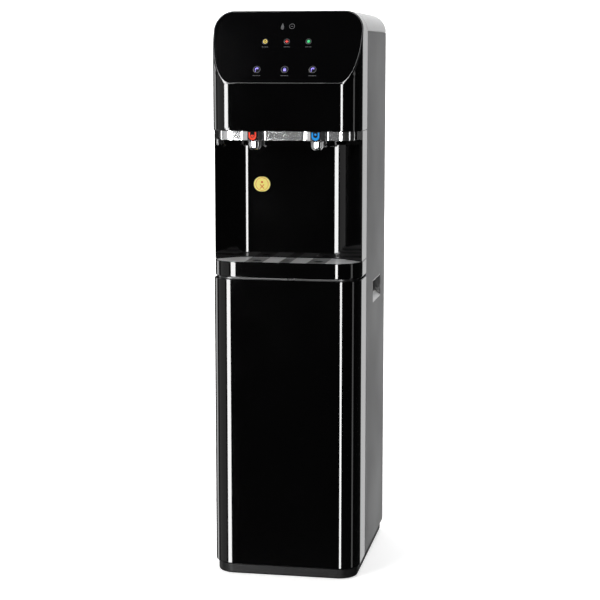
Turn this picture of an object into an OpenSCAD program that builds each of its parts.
// Floor-standing water dispenser with hot and cold taps, fed from the water main through a filter bay.
// X runs across the front, +Y runs from the front to the back and +Z is up, all in millimetres.
// The origin is on the floor under the middle of the cabinet. Each module measures Y from the front face.

/* [Cabinet] */
// Overall width
body_w = 300; // [290:1:320]
// Overall depth
body_d = 390; // [385:1:420]
// Overall height
body_h = 1140; // [1130:1:1160]
// Radius of the two front corners, seen from above
corner_r = 42; // [36:1:46]
// Radius of the drip tray's front corners
tray_r = 53; // [48:1:56]
// How far back the plastic front mouldings reach
front_depth = 105; // [104:1:108]
// Wall of the plastic mouldings
wall = 3; // [2.5:0.1:3.5]
// Thickness of the steel sheet
sheet = 1.2; // [1:0.1:1.4]
// Gap between neighbouring casings
seam = 0.4; // [0.3:0.1:0.5]

/* [Levels] */
// Top of the plinth
plinth_top = 21; // [20:1:24]
sill_top = 24; // [24:1:25]
// Underside of the drip tray
tray_bottom = 614.5; // [612:0.5:618]
// Top of the drip tray
tray_top = 646; // [642:1:650]
// Underside of the head above the taps
head_bottom = 906; // [902:1:908]
// Lower edge of the tilted control panel
panel_bottom = 998; // [990:1:1004]

/* [Taps] */
// Distance of each tap from the middle
tap_x = 63; // [60:1:66]
// Outer diameter of the spout
spout_d = 24; // [22:1:25]
// Width of the press key
key_w = 19.6; // [18:0.2:19.8]

/* [Alcove] */
// Distance of the alcove's back wall from the front face
alcove_depth = 88; // [86:1:90]
// Half width of the flat back wall up to the wings
alcove_half_w = 100; // [98:1:102]
// Distance of the wings' front edges from the front face
wing_front = 45; // [42:1:50]

/* [Filters] */
// Number of filter cartridges
filter_count = 4; // [4:1:4]
// Outer diameter of a cartridge
filter_d = 60; // [54:1:62]
// Spacing of the cartridges
filter_pitch = 67; // [64:1:68]

/* [Hidden] */
$fn = 72;
cap_r = 38.5;
cap_bottom = body_h - cap_r;
door_top = tray_bottom - 4;
door_bottom = plinth_top + 2.5;
panel_back = 60;
panel_tilt = atan(panel_back / (body_h - panel_bottom));
panel_t = 6;
sheet_back = body_d - 2;
rear_bend_r = 10;
recess_y = body_d - 28;
recess_half_w = 122;
recess_bottom = 240;
partition_y = 150;
bezel_t = 2.5;
bar_inset = 14.5;
bar_bottom = 887;
bar_top = head_bottom - seam;
band_bottom = 875;
collar_r = 26.5;
tap_y = 25;
collar_y = 31;
key_pivot = [12, 901];
plunger_z = 893;
bore_gap = 0.05;
filter_y = 92;
filter_top = 470;
socket_z = 480;
tank_y = 228;
cold_r = 75;
hot_r = 55;
hot_y = 242;
grip_y = [200, 320];
grip_z = [540, 588];
compressor_y = 285;
switch_x = [62, 108];
switch_z = 1035;
inlet_x = -90;
drain_x = 90;
port_z = 275;

// ---- shared shapes ----

// Moves a shape whose Y is measured from the front face into the part's own frame.
module placed() translate([0, -body_d / 2, 0]) children();

// An outline in X and Z, pushed from y0 to y1.
module along_y(y0, y1) translate([0, y1, 0]) rotate([90, 0, 0]) linear_extrude(y1 - y0) children();

// An outline in Y and Z, pushed from x0 to x1.
module along_x(x0, x1) translate([x0, 0, 0]) rotate([90, 0, 90]) linear_extrude(x1 - x0) children();

// An outline in X and Y, pushed from z0 to z1.
module along_z(z0, z1) translate([0, 0, z0]) linear_extrude(z1 - z0) children();

// A box from its lowest to its highest corner.
module box(low, high) translate(low) cube(high - low);

// A rod along Y.
module rod_y(x, y0, y1, z, r) translate([x, y0, z]) rotate([-90, 0, 0]) cylinder(h = y1 - y0, r = r);

// Outline seen from above: front corners of radius front_r, back corners of radius back_r.
module plan(w, y0, y1, front_r, back_r = 0) {
    translate([-w / 2, y0 + front_r]) square([w, y1 - y0 - front_r - back_r]);
    translate([-w / 2 + front_r, y0]) square([w - 2 * front_r, front_r + 1]);
    for (s = [-1, 1]) translate([s * (w / 2 - front_r), y0 + front_r]) circle(front_r);
    if (back_r > 0) {
        translate([-w / 2 + back_r, y1 - back_r - 1]) square([w - 2 * back_r, back_r + 1]);
        for (s = [-1, 1]) translate([s * (w / 2 - back_r), y1 - back_r]) circle(back_r);
    }
}

// Outline of the rounded top seen from the front, down to z0.
module cap_outline(inset, z0) {
    w = body_w - 2 * inset;
    r = cap_r - inset;
    top = body_h - inset;
    intersection() {
        union() {
            translate([-w / 2 + r, z0]) square([w - 2 * r, top - z0]);
            translate([-w / 2, z0 - r]) square([w, top - z0]);
            for (s = [-1, 1]) translate([s * (w / 2 - r), top - r]) circle(r);
        }
        translate([-w / 2, z0]) square([w, top - z0]);
    }
}

// The same outer form as the front column, from z0 to the rounded top.
module head_form(inset, z0) intersection() {
    along_z(z0, body_h) plan(body_w - 2 * inset, inset, front_depth, corner_r - inset);
    along_y(inset, front_depth) cap_outline(inset, z0);
}

// A block set square to the tilted control panel: depth is measured inwards from its face, and
// rise is measured up along the face from its lower edge.
module tilted_block(half_w, depth, rise)
    translate([0, 0, panel_bottom]) rotate([-panel_tilt, 0, 0])
        box([-half_w, depth[0], rise[0]], [half_w, depth[1], rise[1]]);

// A disc or rod square to the control panel.
module tilted_rod(x, rise, depth, r)
    translate([0, 0, panel_bottom]) rotate([-panel_tilt, 0, 0]) rod_y(x, depth[0], depth[1], rise, r);

// Places of the indicators on the control panel: x, rise and radius.
indicators = [for (i = [-1, 0, 1]) [43.4 * i, 89, 6], for (i = [-1, 0, 1]) [55.7 * i, 30, 7.5]];

// Everything behind the alcove's face, seen from above; shift moves that face forwards.
module alcove_solid(shift = 0) {
    fillet_r = 45;
    slope = atan((alcove_depth - wing_front) / (body_w / 2 - alcove_half_w));
    middle = alcove_half_w - fillet_r * tan(slope / 2);
    turn = [for (i = [0:9]) [sin(slope * i / 9), cos(slope * i / 9)]];
    translate([0, -shift]) polygon(concat(
        [[-body_w / 2, wing_front]],
        [for (i = [9:-1:0]) [-middle - fillet_r * turn[i][0], alcove_depth - fillet_r * (1 - turn[i][1])]],
        [for (i = [0:9]) [middle + fillet_r * turn[i][0], alcove_depth - fillet_r * (1 - turn[i][1])]],
        [[body_w / 2, wing_front], [body_w / 2, front_depth - seam], [-body_w / 2, front_depth - seam]]));
}

// Bar that carries the taps, seen from above: the column's front set back, with a round boss at each tap.
module bar_outline(grow) difference() {
    union() {
        plan(body_w - 2 * bar_inset - 2 + 2 * grow, bar_inset - grow, alcove_depth - 1, 28 + grow);
        for (s = [-1, 1]) translate([s * tap_x, collar_y]) circle(collar_r + grow);
    }
    alcove_solid(0.6);
}

// A tube of radius r swept through a list of points, with flat ends.
function unit(v) = v / norm(v);
function way(p, i) = unit(p[min(i + 1, len(p) - 1)] - p[max(i - 1, 0)]);
module swept_tube(p, r, sides = 8) {
    rings = [for (i = [0:len(p) - 1]) let (d = way(p, i), u = unit(cross(d, [0.31, 0.53, 0.79])),
        v = cross(d, u)) for (k = [0:sides - 1])
        p[i] + r * (cos(360 * k / sides) * u + sin(360 * k / sides) * v)];
    last = (len(p) - 1) * sides;
    polyhedron(points = rings, faces = concat(
        [[for (k = [0:sides - 1]) k]],
        [for (i = [0:len(p) - 2], k = [0:sides - 1])
            [i * sides + k, (i + 1) * sides + k, (i + 1) * sides + (k + 1) % sides, i * sides + (k + 1) % sides]],
        [[for (k = [sides - 1:-1:0]) last + k]]));
}

// Points of a smooth path through a few hand-set stations.
function blend(a, b, c, d, t) = 0.5 * (2 * b + (c - a) * t + (2 * a - 5 * b + 4 * c - d) * t * t
    + (3 * b - a - 3 * c + d) * t * t * t);
function smooth(p, steps = 5) = concat([for (i = [0:len(p) - 2], s = [0:steps - 1])
    blend(p[max(i - 1, 0)], p[i], p[i + 1], p[min(i + 2, len(p) - 1)], s / steps)], [p[len(p) - 1]]);

// ---- base ----

foot_places = [[-110, 55], [110, 55], [-110, 335], [110, 335]];

module base_plinth() color("#26272a") placed() {
    difference() {
        along_z(1, plinth_top) plan(body_w - 10, 5, body_d - 5, corner_r - 4, 12);
        along_z(0, plinth_top - wall) plan(body_w - 16, 8, body_d - 8, corner_r - 7, 9);
    }
    // raised sill that carries the side sheets, behind the door
    difference() {
        along_z(plinth_top - 1, sill_top) plan(body_w - 10, 5, body_d - 5, corner_r - 4, 12);
        along_z(plinth_top - 2, sill_top + 1) plan(262, 14, body_d - 7, 28);
        box([-body_w, -1, plinth_top - 2], [body_w, front_depth + 2, sill_top + 1]);
    }
    for (p = foot_places) translate([p[0], p[1], 8]) difference() {
        cylinder(h = plinth_top - wall - 8 + 0.5, r = 15);
        translate([0, 0, -1]) cylinder(h = 9, r = 4.2);
    }
}

module rubber_feet() color("#18181a") placed() for (p = foot_places) translate([p[0], p[1], 0]) {
    cylinder(h = 8, r = 14);
    translate([0, 0, 7]) cylinder(h = 7, r = 4);
}

module base_pan() color("#9a9da0") placed() difference() {
    along_z(plinth_top, 48) plan(258, 16, body_d - 8, 28);
    along_z(plinth_top + 2, 60) plan(258 - 2 * sheet, 16 + sheet, body_d - 8 - sheet, 28 - sheet);
    for (sx = [-1, 1], sy = [-1, 1])
        translate([sx * 70, compressor_y + sy * 45, plinth_top - 1]) cylinder(h = 5, r = 5);
}

// ---- steel cabinet ----

// Right-hand side panel: one sheet with a front return, a rounded rear bend and a rear return.
module side_sheet() difference() {
    x1 = body_w / 2;
    along_z(sill_top + 0.5, cap_bottom - seam) {
        translate([x1 - sheet, front_depth]) square([sheet, sheet_back - rear_bend_r - front_depth]);
        translate([x1 - 20, front_depth]) square([20, sheet]);
        translate([recess_half_w + 2, sheet_back - sheet])
            square([x1 - rear_bend_r - recess_half_w - 2, sheet]);
        intersection() {
            translate([x1 - rear_bend_r, sheet_back - rear_bend_r]) difference() {
                circle(rear_bend_r);
                circle(rear_bend_r - sheet);
            }
            translate([x1 - rear_bend_r, sheet_back - rear_bend_r]) square(rear_bend_r + 1);
        }
    }
    box([x1 - 5, grip_y[0], grip_z[0]], [x1 + 5, grip_y[1], grip_z[1]]);
    for (z = [100, 320, 560]) box([x1 - 8, front_depth - 1, z - 11], [x1 - 3, front_depth + 3, z + 11]);
    for (z = [300, 560, 820, 1060]) rod_y(recess_half_w + 9, sheet_back - 5, sheet_back + 5, z, 2);
}

module side_panel_left() color("#7c7d7f") placed() mirror([1, 0, 0]) side_sheet();
module side_panel_right() color("#7c7d7f") placed() side_sheet();

// Pressed tray that closes the back, with flanges behind the side panels' returns.
module rear_panel() color("#8b8d90") placed() difference() {
    union() {
        box([-recess_half_w, recess_y, recess_bottom], [recess_half_w, recess_y + sheet, 1096]);
        for (s = [-1, 1]) {
            box([s * recess_half_w - sheet / 2, recess_y, recess_bottom],
                [s * recess_half_w + sheet / 2, sheet_back - 2 * sheet - 0.2, 1096]);
            box([s > 0 ? recess_half_w : -138, sheet_back - 2 * sheet - 0.2, recess_bottom],
                [s > 0 ? 138 : -recess_half_w, sheet_back - sheet - 0.2, 1096]);
        }
        box([-recess_half_w, recess_y, 1096 - sheet], [recess_half_w, sheet_back - 3, 1096]);
    }
    rod_y(inlet_x, recess_y - 5, recess_y + 5, port_z, 7.2);
    rod_y(drain_x, recess_y - 5, recess_y + 5, port_z, 10.2);
    box([53, recess_y - 5, 959], [117, recess_y + 5, 1051]);
    for (s = [-1, 1], z = [300, 560, 820, 1060])
        rod_y(s * (recess_half_w + 9), sheet_back - 8, sheet_back + 2, z, 1.8);
    for (i = [-4:4]) box([-80 + 9 * i - 2, recess_y - 5, 985], [-80 + 9 * i + 2, recess_y + 5, 1045]);
}

module rear_screws() color("#c8c9cb") placed()
    for (s = [-1, 1], z = [300, 560, 820, 1060]) difference() {
        union() {
            rod_y(s * (recess_half_w + 9), sheet_back + 0.05, sheet_back + 1.8, z, 3.6);
            rod_y(s * (recess_half_w + 9), sheet_back - 8, sheet_back + 0.1, z, 1.7);
        }
        box([s * (recess_half_w + 9) - 0.5, sheet_back + 1, z - 2.4],
            [s * (recess_half_w + 9) + 0.5, sheet_back + 3, z + 2.4]);
        box([s * (recess_half_w + 9) - 2.4, sheet_back + 1, z - 0.5],
            [s * (recess_half_w + 9) + 2.4, sheet_back + 3, z + 0.5]);
    }

// Wire-on-tube condenser: one bent tube between two rows of upright wires.
module condenser() color("#1b1c1e") placed() {
    tube_y = recess_y + 12;
    runs = 12;
    pitch = 48;
    first_z = 330;
    half_w = 88;
    for (i = [0:runs - 1]) translate([-half_w, tube_y, first_z + pitch * i])
        rotate([0, 90, 0]) cylinder(h = 2 * half_w, r = 2.6);
    for (i = [0:runs - 2]) translate([(i % 2 == 0 ? -1 : 1) * half_w, tube_y, first_z + pitch * (i + 0.5)])
        rotate([90, 0, 0]) rotate([0, 0, i % 2 == 0 ? 90 : -90])
            rotate_extrude(angle = 180) translate([pitch / 2, 0]) circle(2.6);
    for (i = [-10:10]) translate([8.5 * i, tube_y + (i % 2 == 0 ? 3.6 : -3.6), first_z - 20])
        cylinder(h = pitch * (runs - 1) + 40, r = 0.9);
    for (s = [-1, 1], run = [1, runs - 2])
        box([s * 84.5 - 2.8, recess_y + sheet + 0.05, first_z + pitch * run - 5],
            [s * 84.5 + 2.8, tube_y + 1, first_z + pitch * run + 5]);
}

// ---- head ----

module top_cover() color("#b9babb") placed() difference() {
    intersection() {
        along_y(front_depth + seam, body_d) cap_outline(0, cap_bottom);
        along_z(cap_bottom, body_h) plan(body_w, front_depth - 20, body_d, 10, rear_bend_r);
    }
    intersection() {
        along_y(front_depth - 1, body_d - wall) cap_outline(wall, cap_bottom - 1);
        along_z(cap_bottom - 1, body_h) plan(body_w - 2 * wall, front_depth - 25, body_d - wall, 7, 7);
    }
}

module head_housing() color("#0c0c0e") placed() difference() {
    head_form(0, head_bottom);
    tilted_block(200, [-300, panel_t + 0.2], [-0.2, 300]);
    difference() {
        intersection() {
            along_z(head_bottom + wall, body_h) plan(body_w - 2 * wall, wall, front_depth + 1, corner_r - wall);
            along_y(wall, front_depth + 1) cap_outline(wall, head_bottom + 1);
        }
        tilted_block(200, [-300, panel_t + wall + 0.2], [-300, 300]);
    }
    tilted_block(92, [0, 20], [14, 108]);
    for (s = [-1, 1]) box([s * tap_x - 15, 30, head_bottom - 1], [s * tap_x + 15, 60, head_bottom + wall + 1]);
}

module control_panel() color("#070708") placed() difference() {
    intersection() {
        head_form(0, panel_bottom - 20);
        tilted_block(200, [0, panel_t], [0, 300]);
    }
    for (p = indicators) tilted_rod(p[0], p[1], [-5, 20], p[2] + 0.1);
}

module indicator_lenses() color("#cfd0ff") placed()
    for (p = indicators) tilted_rod(p[0], p[1], [0.2, panel_t + 2.8], p[2]);

module display_board() color("#1d6b3a") placed() {
    tilted_block(86, [panel_t + 3.2, panel_t + 4.8], [16, 106]);
    for (i = [-2:2]) tilted_block(4, [panel_t + 4.8, panel_t + 6.2], [56 + 6 * i, 60 + 6 * i]);
    tilted_block(20, [panel_t + 4.8, panel_t + 12], [92, 102]);
}

// ---- taps ----

module key_notch(s) box([s * tap_x - key_w / 2 - 0.7, -5, 870], [s * tap_x + key_w / 2 + 0.7, 16, 930]);

module tap_housing() color("#101012") placed() difference() {
    union() {
        difference() {
            along_z(bar_bottom, bar_top) bar_outline(0);
            along_z(bar_bottom + wall, bar_top + 1) intersection() {
                bar_outline(-wall);
                plan(2 * (body_w / 2 - 40), 0, alcove_depth - 1 - wall, 28);
            }
        }
        for (s = [-1, 1]) box([s * tap_x - 13.5, 8.4, bar_bottom], [s * tap_x + 13.5, 18.6, bar_top]);
        box([-90, 41, band_bottom], [90, alcove_depth - 1, bar_bottom + 0.5]);
    }
    for (s = [-1, 1]) {
        key_notch(s);
        translate([s * tap_x, tap_y, bar_bottom - 20]) cylinder(h = 30, r = 5.3);
        translate([s * tap_x - 12.5, key_pivot[0], key_pivot[1]]) rotate([0, 90, 0]) cylinder(h = 25, r = 1.55);
        rod_y(s * tap_x, 10, 20, plunger_z, 2.5 + bore_gap);
    }
}

module tap_bezel() color("#d6d8da") placed() difference() {
    along_z(bar_bottom, bar_top) difference() {
        bar_outline(bezel_t);
        bar_outline(0.1);
        translate([-200, 62]) square([400, 60]);
    }
    for (s = [-1, 1]) key_notch(s);
}

// Press key: a plate with a round lower end, a neck and a hub that turns on the pin.
module key_plate() {
    r = key_w / 2;
    along_y(1.8, 5.8) {
        translate([0, 885.5 + r]) circle(r);
        translate([-r, 885.5 + r]) square([key_w, 905 - 885.5 - r]);
    }
    translate([-6, 0, 0]) difference() {
        union() {
            translate([0, key_pivot[0], key_pivot[1]]) rotate([0, 90, 0]) cylinder(h = 12, r = 3.4);
            box([0, 5, key_pivot[1] - 1.6], [12, key_pivot[0], key_pivot[1] + 3]);
        }
        translate([-1, key_pivot[0], key_pivot[1]]) rotate([0, 90, 0]) cylinder(h = 14, r = 1.5 + bore_gap);
    }
}

module hot_key() color("#121214") placed() translate([-tap_x, 0, 0]) difference() {
    key_plate();
    box([-1.3, 0, 893.5], [1.3, 7, 899]);
}

module cold_key() color("#121214") placed() translate([tap_x, 0, 0]) key_plate();

// U-shaped mark on the key's face, with a thicker foot.
module u_mark() along_y(1.4, 1.8) difference() {
    union() {
        translate([0, 895.5]) circle(7.6);
        translate([-7.6, 895.5]) square([15.2, 8]);
    }
    translate([0, 897.6]) circle(4.6);
    translate([-4.6, 897.6]) square([9.2, 10]);
}

module hot_key_mark() color("#ff4a22") placed() translate([-tap_x, 0, 0]) u_mark();

module cold_key_mark() color("#109be0") placed() translate([tap_x, 0, 0]) {
    u_mark();
    along_y(1.4, 1.8) translate([0, 899.5]) circle(2.2);
}

module hot_lock_slide() color("#d8321c") placed() translate([-tap_x, 0, 0]) {
    box([-3, 0.9, 894.8], [3, 1.7, 898.2]);
    box([-1, 1.6, 894.8], [1, 5.6, 896.2]);
}

module key_pins() color("#c2c4c6") placed() for (s = [-1, 1])
    translate([s * tap_x - 12.4, key_pivot[0], key_pivot[1]]) rotate([0, 90, 0]) cylinder(h = 24.8, r = 1.5);

module plunger(s) placed() {
    rod_y(s * tap_x, 6.3, 38, plunger_z, 2.5);
}

module hot_plunger() color("#e9e6dc") plunger(-1);
module cold_plunger() color("#e9e6dc") plunger(1);

module valve_body(s) placed() difference() {
    union() {
        box([s * tap_x - 11, 20, bar_bottom + wall + 0.1], [s * tap_x + 11, 52, 904.5]);
        translate([s * tap_x, tap_y, bar_bottom + 0.1]) cylinder(h = 4, r = 5.1);
        translate([s * tap_x, 44, 904]) cylinder(h = 16, r = 4.5);
    }
    rod_y(s * tap_x, 15, 44, plunger_z, 2.5 + bore_gap);
    translate([s * tap_x, tap_y, bar_bottom - 1]) cylinder(h = 4.5, r = 3);
}

module hot_valve_body() color("#d9d5c8") valve_body(-1);
module cold_valve_body() color("#d9d5c8") valve_body(1);

module spout(s) placed() translate([s * tap_x, tap_y, 868]) rotate_extrude() {
    r = spout_d / 2;
    difference() {
        union() {
            translate([4, 6]) square([r - 4, 12.9]);
            intersection() {
                translate([r - 8, 8]) circle(8);
                translate([4, 0]) square([r - 4, 8.5]);
            }
            translate([4, 0]) square([r - 8 - 4, 8]);
            translate([4, 15.4]) square([r - 3, 3.5]);
        }
        translate([0, -1]) square([4.5, 12]);
    }
}

module hot_spout() color("#dcdee0") spout(-1);
module cold_spout() color("#dcdee0") spout(1);

// ---- alcove ----

module alcove_panel() color("#0a0a0c") placed() difference() {
    along_z(tray_top + seam + 0.2, head_bottom - seam) alcove_solid();
    along_z(tray_top + seam + 0.2 + wall, head_bottom - seam - wall) difference() {
        translate([-body_w / 2 + wall, wing_front]) square([body_w - 2 * wall, front_depth]);
        translate([-body_w, -alcove_depth]) square([2 * body_w, alcove_depth + wing_front]);
        alcove_front_skin();
    }
}

// The wall of the alcove, seen from above: its face shifted back by the wall's thickness.
module alcove_front_skin() difference() {
    translate([-body_w / 2, 0]) square([body_w, front_depth]);
    alcove_solid(-4);
}

module warning_label() color("#f7dd63") placed() along_y(alcove_depth - 0.4, alcove_depth)
    translate([-62, 795]) {
        for (s = [-1, 1]) translate([2 * s, 0]) circle(15);
        translate([-2, -15]) square([4, 30]);
    }

// ---- drip tray ----

// The part of a tray outline that lies in front of the alcove.
module before_alcove(clearance) difference() {
    children();
    alcove_solid(clearance);
    translate([-body_w, alcove_depth]) square([2 * body_w, alcove_depth]);
}

module drip_tray() color("#0a0a0c") placed() difference() {
    along_z(tray_bottom, tray_top) plan(body_w, 0, front_depth - seam, tray_r);
    along_z(tray_bottom + wall, tray_top - 2.8) plan(body_w - 14, 7, front_depth, tray_r - 7);
    along_z(tray_bottom + wall, tray_top + 1) before_alcove(5) plan(body_w - 14, 7, front_depth, tray_r - 7);
    along_z(tray_top - 2.8, tray_top + 1) before_alcove(0.6) plan(body_w - 5, 2.5, front_depth, tray_r - 2.5);
    box([-body_w / 2 + wall, alcove_depth + 1, tray_bottom - 1], [body_w / 2 - wall, 200, tray_top - 4]);
}

module drip_grille() color("#8d8f92") placed() difference() {
    along_z(tray_top - 2.7, tray_top) before_alcove(1) plan(body_w - 5.8, 2.9, front_depth, tray_r - 2.9);
    for (s = [-1, 1]) translate([s * tap_x, 42, 0]) {
        translate([0, 0, tray_top - 1.2]) cylinder(h = 5, r = 18);
        translate([0, 0, tray_top - 5]) cylinder(h = 9, r = 9.5);
    }
    translate([0, 42, tray_top - 5]) cylinder(h = 9, r = 3);
    box([-11, 6, tray_top - 0.8], [11, alcove_depth - 5, tray_top + 1]);
    for (s = [-1, 1]) translate([s * tap_x, 0, 0])
        box([-19, 6, tray_top - 0.8], [19, alcove_depth - 5, tray_top + 1]);
}

module tray_shelf() color("#141416") placed() difference() {
    union() {
        along_z(door_top + 0.4, tray_bottom - 0.4) plan(body_w - 16, 8, partition_y - 0.2, corner_r - 8);
        box([-5, 3.4, door_top + 0.4], [5, 10, tray_bottom - 0.4]);
    }
    box([body_w / 2 - 22, front_depth - 1, 600], [body_w / 2, front_depth + 3, 620]);
    box([-body_w / 2, front_depth - 1, 600], [-body_w / 2 + 22, front_depth + 3, 620]);
    for (x = [-60, 60]) translate([x, 125, 600]) cylinder(h = 30, r = 8);
}

// ---- lower front door and what is behind it ----

module front_door() color("#0a0a0c") placed() {
    difference() {
        along_z(door_bottom, door_top) plan(body_w, 0, front_depth - seam, corner_r);
        along_z(door_bottom + wall, door_top - wall)
            plan(body_w - 2 * wall, wall, front_depth + 5, corner_r - wall);
        along_z(door_bottom - 1, door_top + 1) plan(body_w - 24, 12, front_depth + 5, corner_r - 12);
    }
    for (s = [-1, 1], z = [100, 320, 560])
        box([s * (body_w / 2 - 5) - 1.4, 92, z - 10], [s * (body_w / 2 - 5) + 2.5, front_depth - seam, z + 10]);
    for (s = [-1, 1], z = [100, 320, 560])
        box([s * (body_w / 2 - 5) - 1.4, 100, z - 10], [s * (body_w / 2 - 5) + 1.4, front_depth + 7, z + 10]);
}

module filter_manifold() color("#e6e7e8") placed() difference() {
    union() {
        box([-128, 66, socket_z], [128, 118, socket_z + 42]);
        box([-128, 117, socket_z], [128, partition_y - 0.1, socket_z + 6]);
        box([-128, partition_y - 6.1, socket_z], [128, partition_y - 0.1, socket_z + 70]);
    }
    for (i = [0:filter_count - 1]) {
        translate([filter_x(i), filter_y, socket_z - 1]) cylinder(h = 21, r = 18.4);
        translate([filter_x(i), filter_y, socket_z]) cylinder(h = 32, r = 6.4);
    }
}

function filter_x(i) = filter_pitch * (i - (filter_count - 1) / 2);

// Quarter-turn cartridge: a rounded canister, a ribbed shoulder and a neck that plugs into the manifold.
module filter_cartridge(i) color("#f2f3f4") placed() translate([filter_x(i), filter_y, 0]) {
    r = filter_d / 2;
    translate([0, 0, 185]) rotate_extrude() {
        square([r - 8, filter_top - 185]);
        translate([0, 8]) square([r, filter_top - 185 - 16]);
        translate([r - 8, 8]) circle(8);
        translate([r - 8, filter_top - 185 - 8]) circle(8);
    }
    translate([0, 0, filter_top - 0.5]) cylinder(h = 29, r = 18);
    translate([0, 0, filter_top + 28]) cylinder(h = 10, r = 6);
    for (s = [-1, 1]) box([-2.5, s * 7 - 6, 176], [2.5, s * 7 + 6, 186]);
}

module filter_cartridge_1() filter_cartridge(0);
module filter_cartridge_2() filter_cartridge(1);
module filter_cartridge_3() filter_cartridge(2);
module filter_cartridge_4() filter_cartridge(3);

module partition_panel() color("#a4a6a8") placed() difference() {
    box([-140, partition_y, sill_top + 0.2], [140, partition_y + sheet, 1080]);
    for (s = [-1, 1]) translate([s * 134, 0, 0]) box([-7, partition_y - 2, sill_top], [7, partition_y + 3, 50]);
    box([-131, partition_y - 2, 838], [131, partition_y + 3, 1090]);
    for (x = [-120, 120]) rod_y(x, partition_y - 3, partition_y + 5, 545, 8);
}

// ---- tanks and cooling ----

module vessel(r, z0, z1, t) difference() {
    cylinder(h = z1 - z0, r = r);
    translate([0, 0, t]) cylinder(h = z1 - z0, r = r - t);
}

module cold_tank() color("#c9cccf") placed() translate([0, tank_y, 862]) vessel(cold_r, 862, 1050, 1);

module cold_tank_lid() color("#eceded") placed() translate([0, tank_y, 1050.3]) {
    cylinder(h = 20, r = cold_r + 8);
    translate([0, 0, -10]) cylinder(h = 10.5, r = cold_r - 1.6);
}

module evaporator_coil() color("#b87333") placed() for (i = [0:8])
    translate([0, tank_y, 880 + 9.4 * i]) rotate_extrude() translate([cold_r + 4.2, 0]) circle(3.8);

module cold_tank_insulation() color("#f4f4f2") placed() difference() {
    box([-108, tank_y - 108, 842], [108, tank_y + 108, 1071]);
    translate([0, tank_y, 861]) cylinder(h = 300, r = cold_r + 9);
}

module hot_tank() color("#c9cccf") placed() translate([-45, hot_y, 660]) difference() {
    cylinder(h = 150, r = hot_r);
    translate([0, 0, 2]) cylinder(h = 146, r = hot_r - 2);
    translate([0, 0, 140]) cylinder(h = 20, r = 5);
}

module heater_band() color("#b08d4a") placed() translate([-45, hot_y, 690]) difference() {
    cylinder(h = 34, r = hot_r + 3);
    translate([0, 0, -1]) cylinder(h = 40, r = hot_r + 0.1);
}

module hot_tank_insulation() color("#dadbd6") placed() translate([-45, hot_y, 640]) difference() {
    cylinder(h = 190, r = hot_r + 24);
    translate([0, 0, 19.9]) cylinder(h = 200, r = hot_r + 4);
}

module compressor() color("#1a1b1d") placed() translate([0, compressor_y, 0]) {
    translate([0, 0, 52]) rotate_extrude() intersection() {
        square([70, 165]);
        union() {
            square([70, 110]);
            translate([40, 110]) circle(30);
            translate([0, 109]) square([40, 31]);
            translate([0, 25]) circle(120);
        }
    }
    translate([0, 0, 86]) cylinder(h = 5, r = 72);
    box([-82, -56, 48], [82, 56, 52.5]);
    box([60, -26, 95], [88, 26, 150]);
}

module compressor_grommets() color("#202022") placed() for (sx = [-1, 1], sy = [-1, 1])
    translate([sx * 70, compressor_y + sy * 45, 0]) {
        translate([0, 0, plinth_top + 2]) cylinder(h = 48 - plinth_top - 2, r = 10);
        translate([0, 0, plinth_top + 0.3]) cylinder(h = 3, r = 4.9);
    }

discharge_path = [[40, 330, 189], [42, 354, 208], [52, 372, 234], [62, 374, 290], [86, 374, 304],
    [104, 374, 314], [104, 374, 326], [96, 374, 330], [88.2, 374, 330]];
suction_path = [[-30, 300, 205], [-70, 320, 260], [-100, 335, 420], [-118, 338, 640], [-124, 300, 800],
    [-124, 240, 870], [-120, 200, 900]];

module refrigerant_tubes() color("#b87333") placed() {
    swept_tube(smooth(discharge_path, 4), 3);
    swept_tube(smooth(suction_path, 4), 4);
    translate([104, 250, 240]) {
        cylinder(h = 80, r = 9);
        translate([0, 0, -12]) cylinder(h = 13, r = 3);
        translate([0, 0, 79]) cylinder(h = 16, r = 2);
    }
}

// ---- water and power connections ----

inlet_path = [[-90, 330, 275], [-90, 300, 275]];
feed_path = [[-90, 245.5, 275], [-90, 236, 275], [-104, 205, 310], [-119, 178, 430], [-120, 166, 530],
    [-120, 158, 543], [-120, 150.4, 545]];
cold_path = [[120, 150.4, 545], [120, 158, 547], [124, 172, 570], [127, 190, 700], [127, 172, 840],
    [124, 140, 930], [114, 112, 1000]];
drain_path = [[-45, 242, 639], [-40, 232, 600], [20, 230, 500], [84, 290, 330], [90, 330, 277], [90, 341, 275]];

module water_tubing() color("#eef2f5") placed() {
    swept_tube(inlet_path, 3.1);
    swept_tube(smooth(feed_path, 4), 3.1);
    swept_tube(smooth(cold_path, 4), 3.1);
    swept_tube(smooth(drain_path, 4), 4);
}

// Board with the relays, the transformer and the plug headers, on the rear of the partition.
module power_board() color("#2a7a45") placed() {
    y = partition_y + sheet + 8;
    box([22, y, 690], [116, y + 1.6, 800]);
    box([30, y + 1.6, 740], [60, y + 24, 776]);
    for (i = [0:2]) box([68 + 15 * i, y + 1.6, 756], [80 + 15 * i, y + 18, 784]);
    for (x = [72, 88, 104]) rod_y(x, y + 1.6, y + 20, 714, 5);
    for (x = [26, 112], z = [694, 796]) rod_y(x, partition_y + sheet + 0.05, y + 0.5, z, 3);
}

module inlet_valve() color("#f1f1ef") placed() {
    box([-104, 247, 262], [-76, 299, 288]);
    translate([-90, 273, 287]) cylinder(h = 30, r = 13);
}

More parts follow.
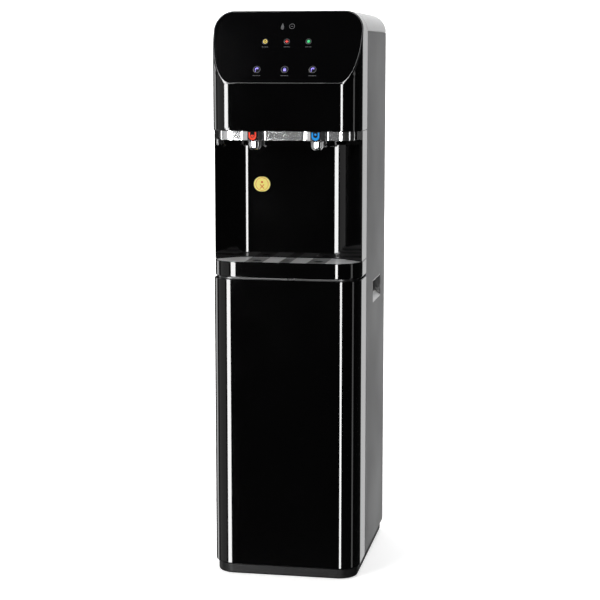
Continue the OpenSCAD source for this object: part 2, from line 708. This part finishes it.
module water_inlet_fitting() color("#3a6fb0") placed() difference() {
    union() {
        rod_y(inlet_x, recess_y - 31, recess_y + 20, port_z, 7);
        rod_y(inlet_x, recess_y + sheet + 0.1, recess_y + 6, port_z, 11);
        translate([inlet_x, recess_y - 6, port_z]) rotate([90, 0, 0]) cylinder(h = 6, r = 11, $fn = 6);
    }
    rod_y(inlet_x, recess_y + 4, recess_y + 21, port_z, 3.2);
    rod_y(inlet_x, recess_y - 32, recess_y - 5, port_z, 3.2);
}

module drain_outlet() color("#e8e8e6") placed() difference() {
    union() {
        rod_y(drain_x, recess_y - 20, recess_y + 18, port_z, 10);
        rod_y(drain_x, recess_y + sheet + 0.1, recess_y + 5, port_z, 14);
        rod_y(drain_x, recess_y - 6, recess_y - 0.1, port_z, 14);
    }
    rod_y(drain_x, recess_y - 22, recess_y + 19, port_z, 4.5);
}

module drain_cap() color("#d43a2c") placed() difference() {
    rod_y(drain_x, recess_y + 5.3, recess_y + 22, port_z, 13);
    rod_y(drain_x, recess_y + 5, recess_y + 18.6, port_z, 10.08);
    for (a = [0:20:340]) rotate_about_drain(a)
        box([drain_x + 12.4, recess_y + 7, port_z - 0.8], [drain_x + 14, recess_y + 24, port_z + 0.8]);
}

module rotate_about_drain(a)
    translate([drain_x, 0, port_z]) rotate([0, a, 0]) translate([-drain_x, 0, -port_z]) children();

// One frame for the appliance inlet and the two rocker switches.
module power_module() color("#17181a") placed() {
    difference() {
        union() {
            box([50, recess_y + sheet + 0.05, 956], [120, recess_y + sheet + 3, 1054]);
            box([54, recess_y - 24, 960], [116, recess_y + 2, 1050]);
        }
        box([71, recess_y - 20, 969], [99, recess_y + 10, 990]);
        for (x = switch_x) box([x - 7, recess_y - 20, switch_z - 13], [x + 7, recess_y + 10, switch_z + 13]);
        for (x = switch_x) translate([x - 9, recess_y - 4, switch_z]) rotate([0, 90, 0])
            cylinder(h = 18, r = 1.55);
    }
    for (x = [-7, 0, 7]) box([85 + x - 1, recess_y - 21, x == 0 ? 981 : 975], [85 + x + 1, recess_y - 4, x == 0 ? 985 : 979]);
}

// Rocker that turns on side trunnions, with a face bent at the middle.
module rocker(x) placed() {
    translate([x, recess_y - 4, switch_z]) rotate([8, 0, 0]) along_x(-6.7, 6.7)
        polygon([[-4, -5], [5, -11.6], [9.5, -11.6], [7.2, 0], [9.5, 11.6], [5, 11.6], [-4, 5]]);
    translate([x - 8.8, recess_y - 4, switch_z]) rotate([0, 90, 0]) cylinder(h = 17.6, r = 1.5);
}

module heat_switch() color("#c8281e") rocker(switch_x[0]);
module cool_switch() color("#1f8a4c") rocker(switch_x[1]);

// ---- carrying grips ----

// Recessed grip: sloping lips above and below, and a pocket that goes up behind the top lip.
module grip() difference() {
    union() {
        box([body_w / 2 - 32, grip_y[0] + 0.5, grip_z[0] + 0.5], [body_w / 2 - 0.2, grip_y[1] - 0.5, grip_z[1] - 0.5]);
        box([body_w / 2 - 4, grip_y[0] - 6, grip_z[0] - 6],
            [body_w / 2 - sheet - 0.05, grip_y[1] + 6, grip_z[1] + 6]);
    }
    along_y(grip_y[0] + 4, grip_y[1] - 4) polygon([[body_w / 2 + 1, grip_z[0] + 1.4],
        [body_w / 2 + 1, grip_z[1] - 1.4], [body_w / 2 - 12, grip_z[1] - 8], [body_w / 2 - 15, grip_z[1] - 2.6],
        [body_w / 2 - 30, grip_z[1] - 2.6], [body_w / 2 - 30, grip_z[0] + 13], [body_w / 2 - 13, grip_z[0] + 13]]);
}

module grip_left() color("#5d5f62") placed() mirror([1, 0, 0]) grip();
module grip_right() color("#5d5f62") placed() grip();

base_plinth();
rubber_feet();
base_pan();
side_panel_left();
side_panel_right();
rear_panel();
condenser();
rear_screws();
top_cover();
head_housing();
control_panel();
indicator_lenses();
display_board();
tap_bezel();
tap_housing();
hot_valve_body();
cold_valve_body();
hot_spout();
cold_spout();
hot_key();
cold_key();
hot_key_mark();
cold_key_mark();
hot_lock_slide();
key_pins();
hot_plunger();
cold_plunger();
alcove_panel();
warning_label();
drip_tray();
drip_grille();
tray_shelf();
front_door();
grip_left();
grip_right();
cold_tank();
cold_tank_lid();
cold_tank_insulation();
evaporator_coil();
hot_tank();
hot_tank_insulation();
heater_band();
compressor();
compressor_grommets();
refrigerant_tubes();
filter_manifold();
filter_cartridge_1();
filter_cartridge_2();
filter_cartridge_3();
filter_cartridge_4();
partition_panel();
power_board();
inlet_valve();
water_tubing();
water_inlet_fitting();
drain_outlet();
drain_cap();
power_module();
heat_switch();
cool_switch();
